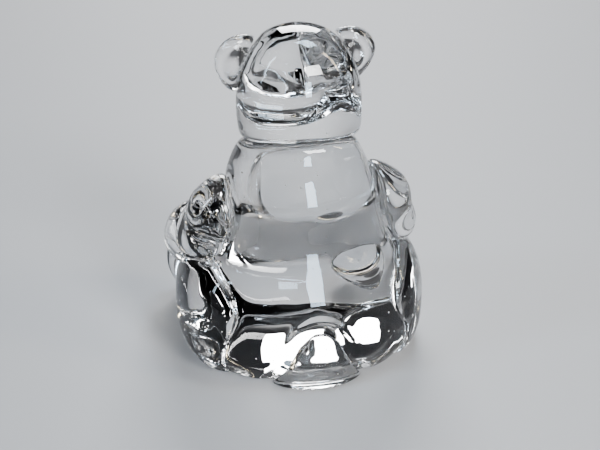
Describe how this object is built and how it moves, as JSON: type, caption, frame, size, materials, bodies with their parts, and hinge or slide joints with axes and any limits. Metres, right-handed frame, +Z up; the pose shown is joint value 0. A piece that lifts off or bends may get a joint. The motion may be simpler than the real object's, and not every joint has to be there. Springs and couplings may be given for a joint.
{
  "type": "seated teddy bear figurine",
  "caption": "Solid clear crystal figurine of a seated teddy bear, with rounded limbs, cupped ears and a low tail, resting on a flat polished base.",
  "frame": {"origin": "on the ground, under the centre of the bear's bounding box", "axes": "+Z up; the bear faces -Y; its left side is +X"},
  "size_m": [0.0636, 0.0602, 0.0825],
  "materials": {
    "crystal": "colourless lead crystal, fire-polished all over, with a ground and polished flat base"
  },
  "bodies": {
    "root": {"torso": "crystal", "head": "crystal", "muzzle": "crystal", "nose": "crystal", "left_ear": "crystal", "right_ear": "crystal", "left_arm": "crystal", "right_arm": "crystal", "left_haunch": "crystal", "right_haunch": "crystal", "left_foot": "crystal", "right_foot": "crystal", "tail": "crystal"}
  },
  "joints": []
}
